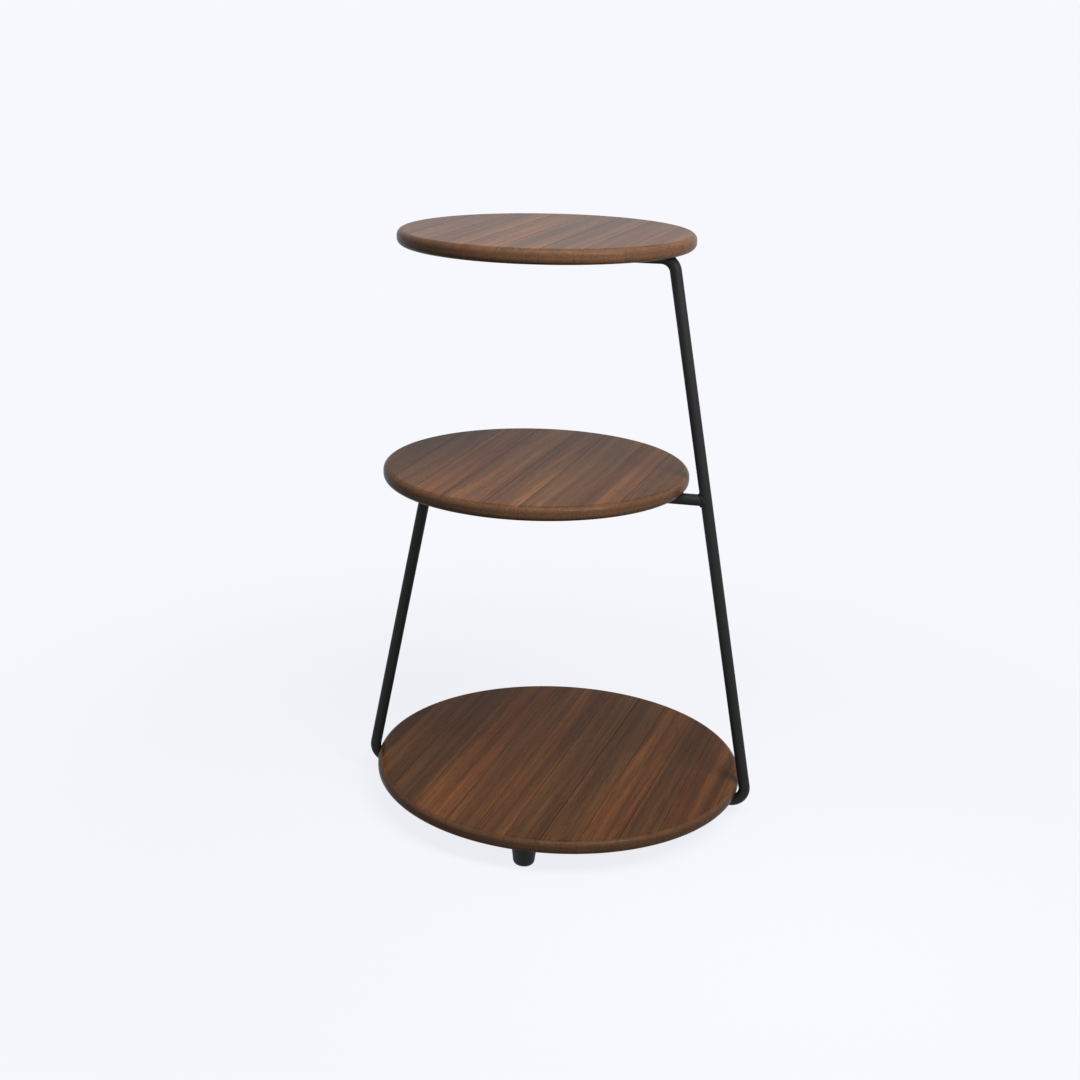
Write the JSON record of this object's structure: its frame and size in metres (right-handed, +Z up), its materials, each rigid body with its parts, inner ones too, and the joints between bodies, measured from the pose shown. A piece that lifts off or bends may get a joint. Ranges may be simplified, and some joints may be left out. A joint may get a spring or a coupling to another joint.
{
  "type": "tiered side table",
  "caption": "Tiered side table: round dark-stained boarded shelves, stepped in size, carried by a flat frame of bent black round bar on small tapered feet.",
  "frame": {"origin": "on the floor, under the centre of the bottom shelf", "axes": "+Z up; the bent-bar frame lies parallel to the XZ plane, 13.5 mm to the -Y side of it, with the long leg at +X; the boards of the shelves run 7 degrees off Y and the pictured front faces -Y"},
  "size_m": [0.4268, 0.4, 0.618],
  "materials": {
    "wood_brown": "mid-brown stained hardwood board under satin lacquer",
    "wood_dark": "dark brown stained hardwood board under satin lacquer",
    "wood_amber": "reddish amber stained hardwood board under satin lacquer",
    "frame_black": "matte black powder coat on steel",
    "foot_plastic": "matte black moulded plastic",
    "fastener_steel": "zinc-plated steel"
  },
  "bodies": {
    "root": {"bottom_shelf_board_1": "wood_brown", "bottom_shelf_board_10": "wood_amber", "bottom_shelf_board_2": "wood_dark", "bottom_shelf_board_3": "wood_amber", "bottom_shelf_board_4": "wood_brown", "bottom_shelf_board_5": "wood_brown", "bottom_shelf_board_6": "wood_dark", "bottom_shelf_board_7": "wood_dark", "bottom_shelf_board_8": "wood_amber", "bottom_shelf_board_9": "wood_dark", "bottom_shelf_screws": "fastener_steel", "bottom_tab_back_left": "frame_black", "bottom_tab_back_right": "frame_black", "bottom_tab_front_left": "frame_black", "bottom_tab_front_right": "frame_black", "foot_screws": "fastener_steel", "foot_washers": "fastener_steel", "front_foot": "foot_plastic", "long_leg_rod": "frame_black", "middle_shelf_board_1": "wood_dark", "middle_shelf_board_2": "wood_brown", "middle_shelf_board_3": "wood_amber", "middle_shelf_board_4": "wood_brown", "middle_shelf_board_5": "wood_brown", "middle_shelf_board_6": "wood_dark", "middle_shelf_board_7": "wood_amber", "middle_shelf_board_8": "wood_brown", "middle_shelf_screws": "fastener_steel", "middle_tab_back_left": "frame_black", "middle_tab_back_right": "frame_black", "middle_tab_front_left": "frame_black", "middle_tab_front_right": "frame_black", "rear_left_foot": "foot_plastic", "rear_right_foot": "foot_plastic", "short_leg_rod": "frame_black", "top_shelf_board_1": "wood_brown", "top_shelf_board_2": "wood_dark", "top_shelf_board_3": "wood_brown", "top_shelf_board_4": "wood_amber", "top_shelf_board_5": "wood_brown", "top_shelf_board_6": "wood_dark", "top_shelf_board_7": "wood_brown", "top_shelf_board_8": "wood_amber", "top_shelf_screws": "fastener_steel", "top_tab_back_left": "frame_black", "top_tab_back_right": "frame_black", "top_tab_front_left": "frame_black", "top_tab_front_right": "frame_black"}
  },
  "joints": []
}
